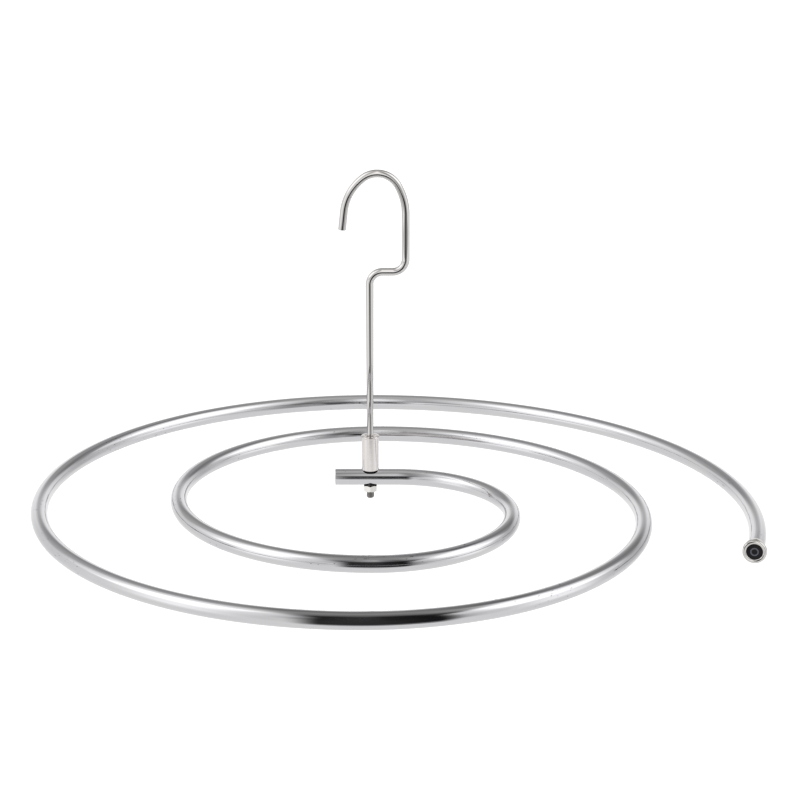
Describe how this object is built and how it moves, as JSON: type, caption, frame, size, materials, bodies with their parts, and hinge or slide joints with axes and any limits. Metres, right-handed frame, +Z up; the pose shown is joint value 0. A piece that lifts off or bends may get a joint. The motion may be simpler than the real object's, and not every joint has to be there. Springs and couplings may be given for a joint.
{
  "type": "spiral drying hanger",
  "caption": "Flat spiral of round stainless tube for drying sheets and quilts, turning on a swivel under a bent wire hook, with a plugged flared collar at its outer end.",
  "frame": {"origin": "the seat of the hook: the lowest point of the wire's inside edge at the crown of the crook, where it rests on a rail", "axes": "+Z up, parallel to the swivel axis; +X to the side of the hook's leg, in the plane of the crook; +Y along the rail that the hook rests on, away from the front of the coil"},
  "size_m": [0.5526, 0.5116, 0.2629],
  "materials": {
    "polished_tube": "polished stainless tube, near mirror, with faint drawing lines along it and a few pits",
    "polished_wire": "polished stainless wire, near mirror",
    "turned_steel": "turned and polished stainless, with fine tool rings",
    "black_plastic": "moulded polyethylene with a soft sheen"
  },
  "bodies": {
    "hook": {"hook_wire": "polished_wire"},
    "coil": {"swivel_sleeve": "turned_steel", "swivel_stud": "turned_steel", "hex_nut": "turned_steel", "spiral_tube": "polished_tube", "end_collar": "turned_steel", "end_plug": "black_plastic", "inner_plug": "black_plastic"}
  },
  "joints": [
    {"name": "swivel", "type": "hinge", "parent": "hook", "child": "coil", "pos_m": [-0.00608, 0, -0.2112], "axis": [0, 0, 1], "continuous": true}
  ]
}
